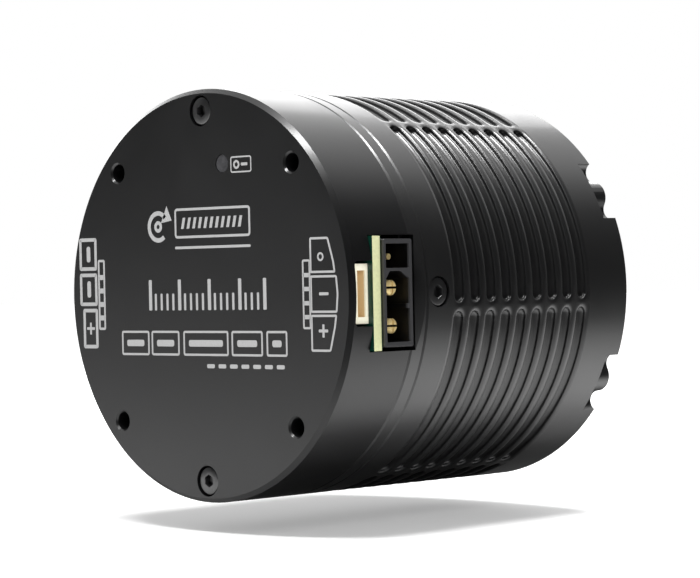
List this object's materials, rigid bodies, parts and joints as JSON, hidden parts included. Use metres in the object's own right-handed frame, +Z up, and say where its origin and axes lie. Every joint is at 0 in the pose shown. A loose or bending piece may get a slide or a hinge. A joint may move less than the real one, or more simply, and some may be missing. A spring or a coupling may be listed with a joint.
{
  "type": "robot joint actuator",
  "caption": "Cylindrical finned rotary actuator with a closed control end, side connectors and a flanged output.",
  "frame": {"origin": "middle of the housing's front mounting face, on the output axis", "axes": "+Y along the output axis from the rear cover to the output, +X the connector side, +Z up"},
  "size_m": [0.0562, 0.0593, 0.056],
  "materials": {
    "anodised_black": "satin black anodised",
    "anodised_face": "bead-blasted black anodised",
    "machined_aluminium": "as machined",
    "screw_black": "black oxide",
    "steel": "ground",
    "gear_steel": "hardened",
    "lamination": "stacked sheet",
    "copper": "enamelled wire",
    "magnet": "nickel plated",
    "board_green": "solder mask over laminate",
    "chip": "moulded",
    "connector_black": "moulded",
    "connector_cream": "moulded",
    "gold": "plated",
    "lens_grey": "diffusing light guide",
    "lamp": "moulded",
    "lead": "insulated wire"
  },
  "bodies": {
    "housing": {"rear_cover": "anodised_face", "rear_cover_screws": "screw_black", "status_lens": "lens_grey", "status_led": "lamp", "end_plate": "anodised_black", "main_housing": "anodised_black", "housing_side_screws": "screw_black", "controller_board": "board_green", "board_components": "chip", "board_standoffs": "steel", "board_screws": "steel", "power_connector": "connector_black", "power_pins": "gold", "signal_pins": "gold", "data_connector": "connector_cream", "data_contacts": "steel", "phase_leads": "lead", "stator_core": "lamination", "stator_coils": "copper", "rear_bearing_outer": "steel", "front_bearing_outer": "steel", "centre_plate": "machined_aluminium", "ring_gear": "gear_steel", "output_bearing_outer": "steel", "bearing_retainer": "anodised_black"},
    "rotor": {"rotor_shaft": "steel", "rotor_core": "steel", "rotor_magnets": "magnet", "first_sun_gear": "gear_steel", "rear_bearing_inner": "steel", "front_bearing_inner": "steel", "rotor_encoder_ring": "magnet"},
    "first_carrier": {"first_carrier": "steel", "first_planet_pins": "steel", "second_sun_gear": "gear_steel"},
    "first_planet_a": {"first_planet_a": "gear_steel"},
    "first_planet_b": {"first_planet_b": "gear_steel"},
    "first_planet_c": {"first_planet_c": "gear_steel"},
    "output": {"output_carrier": "steel", "second_planet_pins": "steel", "output_flange": "machined_aluminium", "output_flange_screws": "screw_black", "output_bearing_inner": "steel", "output_encoder_rod": "steel", "output_encoder_magnet": "magnet"},
    "second_planet_a": {"second_planet_a": "gear_steel"},
    "second_planet_b": {"second_planet_b": "gear_steel"},
    "second_planet_c": {"second_planet_c": "gear_steel"}
  },
  "joints": [
    {"name": "rotor_spin", "type": "hinge", "parent": "housing", "child": "rotor", "pos_m": [0, -0.0333, 0], "axis": [0, 1, 0], "continuous": true},
    {"name": "first_carrier_spin", "type": "hinge", "parent": "housing", "child": "first_carrier", "pos_m": [0, -0.016, 0], "axis": [0, 1, 0], "continuous": true},
    {"name": "output_spin", "type": "hinge", "parent": "housing", "child": "output", "pos_m": [0, 0, 0], "axis": [0, 1, 0], "continuous": true},
    {"name": "first_planet_a_spin", "type": "hinge", "parent": "first_carrier", "child": "first_planet_a", "pos_m": [0, -0.019, 0.0144], "axis": [0, 1, 0], "continuous": true},
    {"name": "first_planet_b_spin", "type": "hinge", "parent": "first_carrier", "child": "first_planet_b", "pos_m": [-0.01247, -0.019, -0.0072], "axis": [0, 1, 0], "continuous": true},
    {"name": "first_planet_c_spin", "type": "hinge", "parent": "first_carrier", "child": "first_planet_c", "pos_m": [0.01247, -0.019, -0.0072], "axis": [0, 1, 0], "continuous": true},
    {"name": "second_planet_a_spin", "type": "hinge", "parent": "output", "child": "second_planet_a", "pos_m": [0, -0.0125, 0.0144], "axis": [0, 1, 0], "continuous": true},
    {"name": "second_planet_b_spin", "type": "hinge", "parent": "output", "child": "second_planet_b", "pos_m": [-0.01247, -0.0125, -0.0072], "axis": [0, 1, 0], "continuous": true},
    {"name": "second_planet_c_spin", "type": "hinge", "parent": "output", "child": "second_planet_c", "pos_m": [0.01247, -0.0125, -0.0072], "axis": [0, 1, 0], "continuous": true}
  ],
  "couplings": [
    {"joint": "first_carrier_spin", "follows": "rotor_spin", "ratio": 0.27778},
    {"joint": "output_spin", "follows": "rotor_spin", "ratio": 0.077161},
    {"joint": "first_planet_a_spin", "follows": "rotor_spin", "ratio": -0.90278},
    {"joint": "first_planet_b_spin", "follows": "rotor_spin", "ratio": -0.90278},
    {"joint": "first_planet_c_spin", "follows": "rotor_spin", "ratio": -0.90278},
    {"joint": "second_planet_a_spin", "follows": "rotor_spin", "ratio": -0.25077},
    {"joint": "second_planet_b_spin", "follows": "rotor_spin", "ratio": -0.25077},
    {"joint": "second_planet_c_spin", "follows": "rotor_spin", "ratio": -0.25077}
  ]
}
